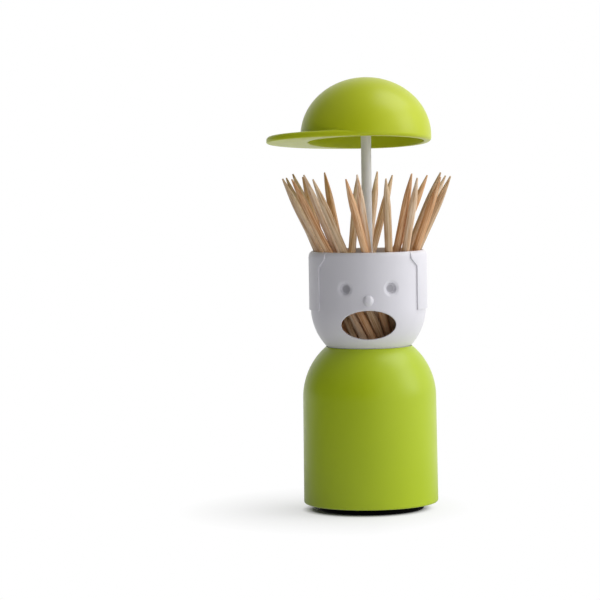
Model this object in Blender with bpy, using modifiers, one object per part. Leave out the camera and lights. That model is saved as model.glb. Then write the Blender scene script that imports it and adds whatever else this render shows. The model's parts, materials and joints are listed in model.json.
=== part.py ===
"""Pop-up toothpick holder shaped as a little figure with a visor cap.

The cap is pulled up by hand.  A rod under it lifts a round carrier inside the
body, and the toothpicks that stand on the carrier rise through the neck and
fan out over the rim of the open head.  Pushing the cap down folds them again.

Units are metres, +Z is up and the origin is on the body's axis, at the
underside of the foot.  The face looks along -Y and the visor along -X.  The
model stands as it is used: cap raised, toothpicks fanned.
"""

import math

import bmesh
import bpy
from mathutils import Euler, Vector

# Clearances: pieces that rest on each other, pieces that turn or slide, and
# how far a cutter runs past what it cuts.
SEAT_GAP = 0.0003
RUN_GAP = 0.0001
SLIDE_GAP = 0.0002
OVERRUN = 0.002

# Foot and base plate
FOOT_RADIUS = 0.0150
FOOT_THICKNESS = 0.0016
FOOT_EDGE = 0.0004
BASE_THICKNESS = 0.0012
BASE_SKIRT_HEIGHT = 0.0040
BASE_SKIRT_SHARE = 0.30
BASE_RING_HEIGHT = 0.0030
BASE_RING_WALL = 0.0012
BASE_WELL_MARGIN = 0.0012

# Body: a drafted cylinder under a half ball
BODY_RADIUS = 0.01895
BODY_DRAFT = 0.0002
BODY_SIDE_HEIGHT = 0.0302
BODY_WALL = 0.0020
BODY_EDGE = 0.0005

# Neck, where the head's collar passes through the top of the body.  The collar
# takes a share of the body's radius, and its wall ends in a lip over the tube.
COLLAR_SHARE = 0.628
COLLAR_WALL = 0.0017
COLLAR_LENGTH = 0.0046
STOP_LIP = 0.0004
LOCK_RING_SHARE = 0.47
LOCK_RING_EDGE = 0.0008

# Head: an open cup with a ball-shaped bottom
HEAD_RADIUS = 0.01635
HEAD_SIDE_HEIGHT = 0.01605
HEAD_WALL = 0.0014
HEAD_RIM_WALL = 0.0008
HAIR_RELIEF = 0.00045
HAIR_DROP = 0.0005
RIM_ROUND_WIDTH = 0.0012
RIM_ROUND_HEIGHT = 0.00185

# Face: the hair's front edges as shares of the head's radius, then places as
# heights over the ball centre of the head
TEMPLE_SHARE = 0.856
TEMPLE_TOP_SHARE = 0.752
TEMPLE_TURN_HEIGHT = 0.0118
TEMPLE_TOP_HEIGHT = 0.0141
EYE_SPACING = 0.0131
EYE_HEIGHT = 0.0059
EYE_RADIUS = 0.0018
EYE_FLOOR_RADIUS = 0.0011
EYE_DEPTH = 0.0008
NOSE_RADIUS = 0.0014
NOSE_RISE = 0.0008
NOSE_HEIGHT = 0.0028
MOUTH_HALF_WIDTH = 0.00763
MOUTH_HALF_HEIGHT = 0.0041
MOUTH_DROP = 0.0043
MOUTH_DEPTH = 0.0060

# Magazine tube, in which the carrier slides
TUBE_WALL = 0.0012

# Carrier, its friction ring and the rod
CARRIER_HEIGHT = 0.00795
CARRIER_FLOOR = 0.0036
CARRIER_WALL = 0.0006
HUB_RADIUS = 0.0026
HUB_HEIGHT = 0.0020
RING_SECTION = 0.00045
ROD_RADIUS = 0.00145
SHOULDER_RADIUS = 0.0021
SHOULDER_LENGTH = 0.0008
CLIP_RADIUS = 0.0032
CLIP_THICKNESS = 0.0007
ROD_TAIL = 0.0004
BALL_RADIUS = 0.0022

# Cap: a dome over a short straight band, with a flat visor on one side.  Its
# inner edge laps inward of the head's side, so that it rests on the rim.
CAP_LAP = 0.0003
CAP_REST_GAP = 0.0008
CAP_WALL = 0.0020
CAP_BAND = 0.0019
CAP_DOME_HEIGHT = 0.0165
CAP_EDGE = 0.0010
CAP_TILT = math.radians(6.5)
VISOR_REACH = 0.0267
VISOR_TUCK = 0.0002
VISOR_OFFSET = 0.0015
VISOR_THICKNESS = 0.0018
VISOR_EDGE = 0.0008
PIVOT_RISE = 0.0085
BOSS_RADIUS = 0.0042
BOSS_FLARE = 0.0008
BOSS_FLARE_HEIGHT = 0.0015
BOSS_DROP = 0.0022
BOSS_MOUTH_RADIUS = 0.00195
BOSS_MOUTH_FLARE = 0.00045

# Toothpicks: two rings of them, all twisted the same way round the rod.  A
# ring's feet stand on its foot radius and its sticks pass the axis at its waist
# radius, both shares of the tube's bore, and lean on the rim at the rest radius.
PICK_LENGTH = 0.0635
PICK_RADIUS = 0.0011
PICK_TIP_RADIUS = 0.00035
PICK_TIP_DOME = 0.0002
PICK_TAPER = 0.0105
PICK_RIM_MARGIN = 0.00015
OUTER_FOOT_SHARE = 0.812
OUTER_WAIST_SHARE = 0.634
INNER_FOOT_SHARE = 0.554
INNER_WAIST_SHARE = 0.317
INNER_REST_STEP = 0.0025
OUTER_START = math.radians(-91.6)
INNER_START = math.radians(-92.6)
# How far each stick stands off its even place, as a share of its ring's step
OUTER_NUDGE_SHARES = (-0.02, 0.02, -0.08, -0.15, -0.18, -0.27, -0.33, -0.20, -0.24, 0.48, 0.38, 0.26, 0.14, 0.02)
INNER_NUDGE_SHARES = (0.06, -0.10, -0.26, 0.53, 0.37, 0.25, 0.12)

# Facets: the full turn of round pieces that show, that are hidden, that are small
# and that make up the face, and the steps of long, hidden and short arcs
LARGE_TURN = 48
HIDDEN_TURN = 32
SMALL_TURN = 20
FACE_TURN = 12
PICK_TURN = 8
ARC_STEPS = 9
HIDDEN_ARC_STEPS = 6
SHORT_ARC_STEPS = 3
SMOOTH_ANGLE = math.radians(35)
MERGE = 0.00001

# Levels that follow from the sizes above, bottom to top
BASE_BOTTOM = FOOT_THICKNESS + SEAT_GAP
BASE_TOP = BASE_BOTTOM + BASE_THICKNESS
COLLAR_RADIUS = BODY_RADIUS * COLLAR_SHARE
COLLAR_BORE = COLLAR_RADIUS - COLLAR_WALL
TUBE_BORE = COLLAR_BORE + STOP_LIP
TUBE_RADIUS = TUBE_BORE + TUBE_WALL
BODY_CENTRE = BASE_BOTTOM + BODY_SIDE_HEIGHT
BODY_INNER_RADIUS = BODY_RADIUS - BODY_WALL
NECK_HOLE_RADIUS = COLLAR_RADIUS + SEAT_GAP
NECK_TOP = BODY_CENTRE + math.sqrt(BODY_RADIUS**2 - NECK_HOLE_RADIUS**2)
HEAD_CENTRE = NECK_TOP + SEAT_GAP + math.sqrt(HEAD_RADIUS**2 - NECK_HOLE_RADIUS**2)
HEAD_INNER_RADIUS = HEAD_RADIUS - HEAD_WALL
RIM_INNER_RADIUS = HEAD_RADIUS - HEAD_RIM_WALL
RIM_TOP = HEAD_CENTRE + HEAD_SIDE_HEIGHT
HAIR_RADIUS = HEAD_RADIUS + HAIR_RELIEF
COLLAR_BOTTOM = NECK_TOP - COLLAR_LENGTH
TUBE_BOTTOM = BASE_TOP + SEAT_GAP
TUBE_TOP = COLLAR_BOTTOM - SEAT_GAP
CARRIER_RADIUS = TUBE_BORE - SLIDE_GAP
CARRIER_BOTTOM = TUBE_TOP - CARRIER_HEIGHT
CARRIER_FLOOR_TOP = CARRIER_BOTTOM + CARRIER_FLOOR
HUB_TOP = CARRIER_FLOOR_TOP + HUB_HEIGHT
LIFT_TRAVEL = CARRIER_BOTTOM - TUBE_BOTTOM
FRICTION_RING_LEVEL = CARRIER_BOTTOM + CARRIER_FLOOR / 2
FRICTION_RING_RADIUS = TUBE_BORE - RUN_GAP - RING_SECTION
CLIP_TOP = CARRIER_BOTTOM - SEAT_GAP
CLIP_BOTTOM = CLIP_TOP - CLIP_THICKNESS
ROD_BOTTOM = CLIP_BOTTOM - ROD_TAIL
CAP_INNER_RADIUS = HAIR_RADIUS - CAP_LAP
CAP_RADIUS = CAP_INNER_RADIUS + CAP_WALL
CAP_INNER_DOME = CAP_DOME_HEIGHT - CAP_WALL
VISOR_HALF_WIDTH = CAP_RADIUS - VISOR_TUCK

# The closed cap stands a rest gap over the place where its inner edge would meet
# the rounded rim of the head.
RIM_FLAT_RADIUS = HAIR_RADIUS - RIM_ROUND_WIDTH
SEAT_COSINE = (CAP_INNER_RADIUS - RIM_FLAT_RADIUS) / RIM_ROUND_WIDTH
SEAT_RISE = RIM_ROUND_HEIGHT * math.sqrt(1 - SEAT_COSINE**2)
CAP_CLOSED_LEVEL = RIM_TOP - RIM_ROUND_HEIGHT + SEAT_RISE + CAP_REST_GAP
CAP_LEVEL = CAP_CLOSED_LEVEL + LIFT_TRAVEL
PIVOT_LEVEL = CAP_LEVEL + PIVOT_RISE
SOCKET_RADIUS = BALL_RADIUS + RUN_GAP

# Sticks stand a seat gap over the carrier and lean a margin inside the rim.
PICK_FOOT_LEVEL = CARRIER_FLOOR_TOP + SEAT_GAP
OUTER_FOOT_RADIUS = TUBE_BORE * OUTER_FOOT_SHARE
OUTER_WAIST_RADIUS = TUBE_BORE * OUTER_WAIST_SHARE
INNER_FOOT_RADIUS = TUBE_BORE * INNER_FOOT_SHARE
INNER_WAIST_RADIUS = TUBE_BORE * INNER_WAIST_SHARE
OUTER_REST_RADIUS = RIM_INNER_RADIUS - PICK_RADIUS - PICK_RIM_MARGIN
INNER_REST_RADIUS = OUTER_REST_RADIUS - INNER_REST_STEP


def clear_scene():
    for scene_object in list(bpy.data.objects):
        bpy.data.objects.remove(scene_object, do_unlink=True)


def new_collection(name):
    collection = bpy.data.collections.new(name)
    bpy.context.scene.collection.children.link(collection)
    return collection


def new_material(name, colour, roughness, metallic=0.0):
    material = bpy.data.materials.new(name)
    material.use_nodes = True
    material.diffuse_color = (*colour, 1.0)
    shader = material.node_tree.nodes["Principled BSDF"]
    shader.inputs["Base Color"].default_value = (*colour, 1.0)
    shader.inputs["Roughness"].default_value = roughness
    shader.inputs["Metallic"].default_value = metallic
    return material


def new_object(name, mesh, collection, material=None):
    scene_object = bpy.data.objects.new(name, mesh)
    collection.objects.link(scene_object)
    if material:
        mesh.materials.append(material)
    return scene_object


def set_parent(child, parent):
    """Hangs child on parent, with child's place counted from parent's origin."""
    child.parent = parent
    return child


def as_cutter(scene_object):
    scene_object.hide_render = True
    scene_object.display_type = "WIRE"
    return scene_object


def boolean(target, tool, operation):
    modifier = target.modifiers.new(f"{operation.lower()} {tool.name}", "BOOLEAN")
    modifier.operation = operation
    modifier.object = tool
    modifier.solver = "EXACT"
    return modifier


def turned(name, profile, turn, collection, material=None, closed=False):
    """Turns (radius, height) points, which run down the outer side, round Z."""
    mesh = bpy.data.meshes.new(name)
    points = [(radius, 0, height) for radius, height in profile]
    edges = [(i, i + 1) for i in range(len(points) - 1)]
    if closed:
        edges.append((len(points) - 1, 0))
    mesh.from_pydata(points, edges, [])
    scene_object = new_object(name, mesh, collection, material)
    screw = scene_object.modifiers.new("turn", "SCREW")
    screw.steps = turn
    screw.render_steps = turn
    screw.use_merge_vertices = True
    screw.merge_threshold = MERGE
    screw.use_smooth_shade = True
    return scene_object


def arc(radius_x, radius_z, centre_z, start, end, steps, centre_x=0.0):
    """Points of an ellipse arc in the profile plane; angles count from +X."""
    points = []
    for step in range(steps + 1):
        angle = start + (end - start) * step / steps
        points.append((centre_x + radius_x * math.cos(angle), centre_z + radius_z * math.sin(angle)))
    return points


def extruded(name, outline, depth, collection):
    """A flat outline in XY, given thickness along Z about its own plane."""
    curve = bpy.data.curves.new(name, "CURVE")
    curve.dimensions = "2D"
    curve.fill_mode = "BOTH"
    curve.extrude = depth / 2
    spline = curve.splines.new("POLY")
    spline.points.add(len(outline) - 1)
    for point, (x, y) in zip(spline.points, outline):
        point.co = (x, y, 0, 1)
    spline.use_cyclic_u = True
    guide = bpy.data.objects.new(name, curve)
    collection.objects.link(guide)
    bpy.context.view_layer.update()
    mesh = bpy.data.meshes.new_from_object(guide.evaluated_get(bpy.context.evaluated_depsgraph_get()))
    bpy.data.objects.remove(guide)
    bpy.data.curves.remove(curve)
    cage = bmesh.new()
    cage.from_mesh(mesh)
    bmesh.ops.remove_doubles(cage, verts=cage.verts, dist=MERGE)
    bmesh.ops.recalc_face_normals(cage, faces=cage.faces)
    cage.to_mesh(mesh)
    cage.free()
    mesh.name = name
    return new_object(name, mesh, collection)


def rounded(scene_object, width, segments=2):
    modifier = scene_object.modifiers.new("round", "BEVEL")
    modifier.width = width
    modifier.segments = segments
    modifier.limit_method = "ANGLE"
    modifier.angle_limit = SMOOTH_ANGLE
    return modifier


def make_foot(parts, material):
    edge = arc(FOOT_EDGE, FOOT_EDGE, FOOT_EDGE, 0, -math.pi / 2, SHORT_ARC_STEPS, FOOT_RADIUS - FOOT_EDGE)
    profile = [(0, FOOT_THICKNESS), (FOOT_RADIUS, FOOT_THICKNESS)] + edge + [(0, 0)]
    return turned("foot_pad", profile, LARGE_TURN, parts, material)


def make_base_plate(parts, material):
    """Plate with a skirt inside the body, a ring round the tube and a well for the rod."""
    outer = BODY_RADIUS + BODY_DRAFT - BODY_WALL - SEAT_GAP
    ring_inner = TUBE_RADIUS + SEAT_GAP
    ring_outer = ring_inner + BASE_RING_WALL
    skirt_inner = outer - (outer - ring_outer) * BASE_SKIRT_SHARE
    well = CLIP_RADIUS + BASE_WELL_MARGIN
    skirt_top = BASE_TOP + BASE_SKIRT_HEIGHT
    ring_top = BASE_TOP + BASE_RING_HEIGHT
    profile = [
        (outer, skirt_top),
        (outer, BASE_BOTTOM),
        (well, BASE_BOTTOM),
        (well, BASE_TOP),
        (ring_inner, BASE_TOP),
        (ring_inner, ring_top),
        (ring_outer, ring_top),
        (ring_outer, BASE_TOP),
        (skirt_inner, BASE_TOP),
        (skirt_inner, skirt_top),
    ]
    return turned("base_plate", profile, HIDDEN_TURN, parts, material, closed=True)


def make_body(parts, material):
    """Green shell: outside and inside are both a half ball over a drafted wall."""
    hole_angle = math.acos(NECK_HOLE_RADIUS / BODY_RADIUS)
    inner_angle = math.acos(NECK_HOLE_RADIUS / BODY_INNER_RADIUS)
    foot_radius = BODY_RADIUS + BODY_DRAFT
    outside = arc(BODY_RADIUS, BODY_RADIUS, BODY_CENTRE, hole_angle, 0, ARC_STEPS)
    edge = arc(BODY_EDGE, BODY_EDGE, BASE_BOTTOM + BODY_EDGE, 0, -math.pi / 2, SHORT_ARC_STEPS, foot_radius - BODY_EDGE)
    inside = [(foot_radius - BODY_WALL, BASE_BOTTOM)]
    inside += arc(BODY_INNER_RADIUS, BODY_INNER_RADIUS, BODY_CENTRE, 0, inner_angle, HIDDEN_ARC_STEPS)
    return turned("body_shell", outside + edge + inside, LARGE_TURN, parts, material, closed=True)


def make_magazine_tube(parts, material):
    profile = [
        (TUBE_RADIUS, TUBE_TOP),
        (TUBE_RADIUS, TUBE_BOTTOM),
        (TUBE_BORE, TUBE_BOTTOM),
        (TUBE_BORE, TUBE_TOP),
    ]
    return turned("magazine_tube", profile, HIDDEN_TURN, parts, material, closed=True)


def make_lock_ring(parts, material):
    """Ring on the collar under the top of the body, which holds the head down."""
    inner = NECK_HOLE_RADIUS
    seat = BODY_INNER_RADIUS - SEAT_GAP
    outer = inner + (seat - inner) * LOCK_RING_SHARE
    start = math.acos(inner / seat)
    end = math.acos(outer / seat)
    seat_side = arc(seat, seat, BODY_CENTRE, start, end, SHORT_ARC_STEPS)
    bottom = seat_side[-1][1] - LOCK_RING_EDGE
    profile = seat_side + [(outer, bottom), (inner, bottom)]
    return turned("lock_ring", profile, HIDDEN_TURN, parts, material, closed=True)


def head_profile():
    """Outer side from the rim down to the collar, then the inside back up."""
    hair_bottom = HEAD_CENTRE - HAIR_DROP
    collar_angle = -math.acos(COLLAR_RADIUS / HEAD_RADIUS)
    hair_angle = -math.asin(HAIR_DROP / HEAD_RADIUS)
    bore_angle = -math.acos(COLLAR_BORE / HEAD_INNER_RADIUS)
    round_centre = RIM_TOP - RIM_ROUND_HEIGHT
    rim = arc(RIM_ROUND_WIDTH, RIM_ROUND_HEIGHT, round_centre, math.pi / 2, 0, SHORT_ARC_STEPS, RIM_FLAT_RADIUS)
    outside = rim + [(HAIR_RADIUS, hair_bottom)]
    outside += arc(HEAD_RADIUS, HEAD_RADIUS, HEAD_CENTRE, hair_angle, collar_angle, ARC_STEPS)
    collar = [(COLLAR_RADIUS, COLLAR_BOTTOM), (COLLAR_BORE, COLLAR_BOTTOM)]
    inside = arc(HEAD_INNER_RADIUS, HEAD_INNER_RADIUS, HEAD_CENTRE, bore_angle, 0, HIDDEN_ARC_STEPS)
    return outside + collar + inside + [(RIM_INNER_RADIUS, RIM_TOP)]


def make_face_window(cutters):
    """Front of the hair layer: a framed outline, less the bare head behind it."""
    bottom = HEAD_CENTRE - HAIR_DROP - OVERRUN
    top = RIM_TOP + OVERRUN
    turn = HEAD_CENTRE + TEMPLE_TURN_HEIGHT
    slope_end = HEAD_CENTRE + TEMPLE_TOP_HEIGHT
    side = HEAD_RADIUS * TEMPLE_SHARE
    top_side = HEAD_RADIUS * TEMPLE_TOP_SHARE
    left = [(-side, bottom), (-side, turn), (-top_side, slope_end), (-top_side, top)]
    right = [(-x, z) for x, z in reversed(left)]
    depth = HAIR_RADIUS + OVERRUN
    window = as_cutter(extruded("face_window", right + left, depth, cutters))
    window.rotation_euler = Euler((math.pi / 2, 0, 0))
    window.location = (0, -depth / 2, 0)
    core_profile = [
        (0, top + OVERRUN),
        (HEAD_RADIUS, top + OVERRUN),
        (HEAD_RADIUS, bottom - OVERRUN),
        (0, bottom - OVERRUN),
    ]
    core = as_cutter(turned("face_core", core_profile, LARGE_TURN, cutters))
    boolean(window, core, "DIFFERENCE")
    return window


def make_mouth(cutters):
    bpy.ops.mesh.primitive_cylinder_add(vertices=2 * FACE_TURN, radius=1, depth=MOUTH_DEPTH + OVERRUN)
    mouth = as_cutter(bpy.context.object)
    mouth.name = "mouth"
    for vertex in mouth.data.vertices:
        vertex.co.x *= MOUTH_HALF_WIDTH
        vertex.co.y *= MOUTH_HALF_HEIGHT
    mouth.rotation_euler = Euler((math.pi / 2, 0, 0))
    mouth.location = (0, -HEAD_RADIUS - OVERRUN + (MOUTH_DEPTH + OVERRUN) / 2, HEAD_CENTRE - MOUTH_DROP)
    for collection in list(mouth.users_collection):
        collection.objects.unlink(mouth)
    cutters.objects.link(mouth)
    return mouth


def make_eye(name, side, cutters):
    """Dimple with sloping sides, square to the round wall of the head."""
    profile = [
        (0, OVERRUN),
        (EYE_RADIUS, OVERRUN),
        (EYE_RADIUS, 0),
        (EYE_FLOOR_RADIUS, -EYE_DEPTH),
        (0, -EYE_DEPTH),
    ]
    eye = as_cutter(turned(name, profile, FACE_TURN, cutters))
    across = side * EYE_SPACING / 2
    swing = math.asin(across / HEAD_RADIUS)
    eye.rotation_euler = Euler((math.pi / 2, 0, swing))
    eye.location = (across, -HEAD_RADIUS * math.cos(swing), HEAD_CENTRE + EYE_HEIGHT)
    return eye


def make_nose(cutters):
    profile = arc(NOSE_RADIUS, NOSE_RADIUS, 0, math.pi / 2, -math.pi / 2, HIDDEN_ARC_STEPS)
    profile[0] = (0, NOSE_RADIUS)
    profile[-1] = (0, -NOSE_RADIUS)
    nose = as_cutter(turned("nose", profile, FACE_TURN, cutters))
    nose.location = (0, -HEAD_RADIUS - NOSE_RISE + NOSE_RADIUS, HEAD_CENTRE + NOSE_HEIGHT)
    return nose


def make_head(parts, cutters, material):
    head = turned("head_cup", head_profile(), LARGE_TURN, parts, material, closed=True)
    boolean(head, make_face_window(cutters), "DIFFERENCE")
    boolean(head, make_nose(cutters), "UNION")
    boolean(head, make_eye("left_eye", -1, cutters), "DIFFERENCE")
    boolean(head, make_eye("right_eye", 1, cutters), "DIFFERENCE")
    boolean(head, make_mouth(cutters), "DIFFERENCE")
    return head


def make_carrier(parts, material):
    """Shallow cup with a hub for the rod and a groove for its friction ring."""
    groove_half = RING_SECTION + RUN_GAP
    groove_radius = FRICTION_RING_RADIUS - groove_half
    hole = ROD_RADIUS + RUN_GAP
    wall_inner = CARRIER_RADIUS - CARRIER_WALL
    top = CARRIER_BOTTOM + CARRIER_HEIGHT
    profile = [
        (CARRIER_RADIUS, top),
        (CARRIER_RADIUS, FRICTION_RING_LEVEL + groove_half),
        (groove_radius, FRICTION_RING_LEVEL + groove_half),
        (groove_radius, FRICTION_RING_LEVEL - groove_half),
        (CARRIER_RADIUS, FRICTION_RING_LEVEL - groove_half),
        (CARRIER_RADIUS, CARRIER_BOTTOM),
        (hole, CARRIER_BOTTOM),
        (hole, HUB_TOP),
        (HUB_RADIUS, HUB_TOP),
        (HUB_RADIUS, CARRIER_FLOOR_TOP),
        (wall_inner, CARRIER_FLOOR_TOP),
        (wall_inner, top),
    ]
    return turned("carrier_cup", profile, SMALL_TURN, parts, material, closed=True)


def make_friction_ring(parts, material):
    section = arc(
        RING_SECTION, RING_SECTION, FRICTION_RING_LEVEL, math.pi / 2, -1.5 * math.pi, 2 * SHORT_ARC_STEPS, FRICTION_RING_RADIUS
    )
    return turned("friction_ring", section[:-1], HIDDEN_TURN, parts, material, closed=True)


def make_rod(parts, material):
    """Plain rod with a shoulder over the hub and a ball for the cap at its top."""
    neck_angle = -math.acos(ROD_RADIUS / BALL_RADIUS)
    ball = arc(BALL_RADIUS, BALL_RADIUS, PIVOT_LEVEL, math.pi / 2, neck_angle, ARC_STEPS)
    ball[0] = (0, PIVOT_LEVEL + BALL_RADIUS)
    shoulder_bottom = HUB_TOP + SEAT_GAP
    shoulder_top = shoulder_bottom + SHOULDER_LENGTH
    profile = ball + [
        (ROD_RADIUS, shoulder_top),
        (SHOULDER_RADIUS, shoulder_top),
        (SHOULDER_RADIUS, shoulder_bottom),
        (ROD_RADIUS, shoulder_bottom),
        (ROD_RADIUS, ROD_BOTTOM),
        (0, ROD_BOTTOM),
    ]
    return turned("rod", profile, SMALL_TURN, parts, material)


def make_clip(parts, material):
    hole = ROD_RADIUS + RUN_GAP
    profile = [(CLIP_RADIUS, CLIP_TOP), (CLIP_RADIUS, CLIP_BOTTOM), (hole, CLIP_BOTTOM), (hole, CLIP_TOP)]
    return turned("rod_clip", profile, SMALL_TURN, parts, material, closed=True)


def make_cap_pivot(parts):
    """Empty at the ball centre; its tilt is how the raised cap sits on the ball."""
    pivot = bpy.data.objects.new("cap_pivot", None)
    parts.objects.link(pivot)
    pivot.location = (0, 0, PIVOT_LEVEL)
    pivot.rotation_euler = Euler((-CAP_TILT, 0, 0))
    return pivot


def cap_dome_profile():
    """Outside of the cap, counted from the pivot, as a closed solid dome."""
    band_top = CAP_BAND - PIVOT_RISE
    outside = arc(CAP_RADIUS, CAP_DOME_HEIGHT, band_top, math.pi / 2, 0, ARC_STEPS)
    outside[0] = (0, band_top + CAP_DOME_HEIGHT)
    edge = arc(CAP_EDGE, CAP_EDGE, CAP_EDGE - PIVOT_RISE, 0, -math.pi / 2, SHORT_ARC_STEPS, CAP_RADIUS - CAP_EDGE)
    return outside + edge + [(0, -PIVOT_RISE)]


def cap_cavity_profile():
    band_top = CAP_BAND - PIVOT_RISE
    dome = arc(CAP_INNER_RADIUS, CAP_INNER_DOME, band_top, math.pi / 2, 0, ARC_STEPS)
    dome[0] = (0, band_top + CAP_INNER_DOME)
    bottom = -PIVOT_RISE - OVERRUN
    return dome + [(CAP_INNER_RADIUS, bottom), (0, bottom)]


def make_visor(cutters):
    """Half ellipse in plan, from the band out along -X, with rounded edges."""
    outline = []
    for step in range(2 * ARC_STEPS + 1):
        angle = math.pi / 2 + math.pi * step / (2 * ARC_STEPS)
        outline.append((VISOR_REACH * math.cos(angle) - VISOR_OFFSET, VISOR_HALF_WIDTH * math.sin(angle)))
    visor = as_cutter(extruded("visor", outline, VISOR_THICKNESS, cutters))
    visor.location = (0, 0, VISOR_THICKNESS / 2 - PIVOT_RISE)
    rounded(visor, VISOR_EDGE)
    return visor


def make_cap(parts, cutters, pivot, material):
    cap = set_parent(turned("cap_shell", cap_dome_profile(), LARGE_TURN, parts, material), pivot)
    visor = set_parent(make_visor(cutters), pivot)
    cavity = set_parent(as_cutter(turned("cap_cavity", cap_cavity_profile(), LARGE_TURN, cutters)), pivot)
    boolean(cap, visor, "UNION")
    boolean(cap, cavity, "DIFFERENCE")
    return cap


def make_cap_socket(parts, pivot, material):
    """Boss under the dome: a ball socket below, and a top that fits the dome."""
    fit_radius = CAP_INNER_RADIUS - SEAT_GAP
    fit_height = CAP_INNER_DOME - SEAT_GAP
    band_top = CAP_BAND - PIVOT_RISE
    top_radius = BOSS_RADIUS + BOSS_FLARE
    top = arc(fit_radius, fit_height, band_top, math.pi / 2, math.acos(top_radius / fit_radius), SHORT_ARC_STEPS)
    top[0] = (0, band_top + fit_height)
    mouth_angle = -math.acos(BOSS_MOUTH_RADIUS / SOCKET_RADIUS)
    flare_level = top[-1][1] - BOSS_FLARE_HEIGHT
    outside = [(BOSS_RADIUS, flare_level), (BOSS_RADIUS, -BOSS_DROP), (BOSS_MOUTH_RADIUS + BOSS_MOUTH_FLARE, -BOSS_DROP)]
    socket = arc(SOCKET_RADIUS, SOCKET_RADIUS, 0, mouth_angle, math.pi / 2, ARC_STEPS)
    socket[-1] = (0, SOCKET_RADIUS)
    return set_parent(turned("cap_socket", top + outside + socket, SMALL_TURN, parts, material), pivot)


def pick_profile():
    """A stick, top to foot, with a bullet-shaped taper at both ends."""
    taper = []
    for step in range(SHORT_ARC_STEPS + 1):
        angle = math.pi / 2 * step / SHORT_ARC_STEPS
        radius = PICK_TIP_RADIUS + (PICK_RADIUS - PICK_TIP_RADIUS) * math.sin(angle)
        taper.append((radius, PICK_TIP_DOME + (PICK_TAPER - PICK_TIP_DOME) * step / SHORT_ARC_STEPS))
    top = [(0, PICK_LENGTH)] + [(radius, PICK_LENGTH - along) for radius, along in taper]
    foot = [(radius, along) for radius, along in reversed(taper)] + [(0, 0)]
    return top + foot


def fan_places(start, nudge_shares, foot_radius, waist_radius, rest_radius):
    """Foot point, heading and lean of each stick of one ring."""
    foot_run = math.sqrt(foot_radius**2 - waist_radius**2)
    rest_run = math.sqrt(rest_radius**2 - waist_radius**2)
    sweep = math.acos(waist_radius / foot_radius) + math.acos(waist_radius / rest_radius)
    lean = math.atan((foot_run + rest_run) / (RIM_TOP - PICK_FOOT_LEVEL))
    places = []
    for index, nudge in enumerate(nudge_shares):
        rest_angle = start + 2 * math.pi * (index + nudge) / len(nudge_shares)
        foot_angle = rest_angle + sweep
        heading = foot_angle + math.pi + math.asin(waist_radius / foot_radius)
        foot = Vector((foot_radius * math.cos(foot_angle), foot_radius * math.sin(foot_angle), PICK_FOOT_LEVEL))
        places.append((foot, heading, lean))
    return places


def make_toothpicks(parts, material):
    outer = fan_places(OUTER_START, OUTER_NUDGE_SHARES, OUTER_FOOT_RADIUS, OUTER_WAIST_RADIUS, OUTER_REST_RADIUS)
    inner = fan_places(INNER_START, INNER_NUDGE_SHARES, INNER_FOOT_RADIUS, INNER_WAIST_RADIUS, INNER_REST_RADIUS)
    first = None
    for number, (foot, heading, lean) in enumerate(outer + inner, start=1):
        name = f"toothpick_{number:02d}"
        if first is None:
            pick = turned(name, pick_profile(), PICK_TURN, parts, material)
            first = pick
        else:
            pick = first.copy()
            pick.name = name
            parts.objects.link(pick)
        pick.location = foot
        pick.rotation_euler = Euler((0, lean, heading))


def build():
    clear_scene()
    parts = new_collection("toothpick_holder")
    cutters = new_collection("cutters")
    green = new_material("green_plastic", (0.46, 0.58, 0.04), 0.35)
    white = new_material("white_plastic", (0.86, 0.88, 0.91), 0.40)
    rod_white = new_material("rod_plastic", (0.72, 0.73, 0.75), 0.45)
    natural = new_material("natural_plastic", (0.78, 0.78, 0.74), 0.50)
    black = new_material("black_plastic", (0.02, 0.02, 0.02), 0.50)
    rubber = new_material("black_rubber", (0.015, 0.015, 0.015), 0.85)
    wood = new_material("birch_wood", (0.72, 0.52, 0.29), 0.70)
    make_foot(parts, rubber)
    make_base_plate(parts, black)
    make_body(parts, green)
    make_magazine_tube(parts, natural)
    make_lock_ring(parts, natural)
    make_head(parts, cutters, white)
    make_carrier(parts, natural)
    make_friction_ring(parts, rubber)
    make_rod(parts, rod_white)
    make_clip(parts, natural)
    pivot = make_cap_pivot(parts)
    make_cap(parts, cutters, pivot, green)
    make_cap_socket(parts, pivot, white)
    make_toothpicks(parts, wood)


build()
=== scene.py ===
import json
import math

import bpy
from mathutils import Euler, Matrix, Vector


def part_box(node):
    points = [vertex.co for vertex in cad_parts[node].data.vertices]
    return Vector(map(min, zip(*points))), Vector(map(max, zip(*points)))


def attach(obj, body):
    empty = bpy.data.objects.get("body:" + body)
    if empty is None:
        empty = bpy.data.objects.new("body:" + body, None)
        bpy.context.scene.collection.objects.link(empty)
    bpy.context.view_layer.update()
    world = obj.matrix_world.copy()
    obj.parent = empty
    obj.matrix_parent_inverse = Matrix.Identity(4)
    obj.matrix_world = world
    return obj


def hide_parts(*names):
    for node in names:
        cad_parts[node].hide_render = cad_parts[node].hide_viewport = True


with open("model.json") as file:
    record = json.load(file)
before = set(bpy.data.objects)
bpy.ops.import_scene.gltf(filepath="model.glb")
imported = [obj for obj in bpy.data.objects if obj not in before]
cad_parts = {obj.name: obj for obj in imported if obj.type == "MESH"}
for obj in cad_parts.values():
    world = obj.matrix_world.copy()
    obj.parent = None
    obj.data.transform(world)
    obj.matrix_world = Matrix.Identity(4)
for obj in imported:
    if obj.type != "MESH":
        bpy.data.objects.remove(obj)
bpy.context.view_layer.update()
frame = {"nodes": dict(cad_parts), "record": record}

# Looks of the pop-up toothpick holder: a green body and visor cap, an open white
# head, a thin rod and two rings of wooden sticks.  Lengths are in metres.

BEHAVIOUR = frame["record"]["behaviour"]
JOINTS = {joint["name"]: joint for joint in BEHAVIOUR["joints"]}
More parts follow.
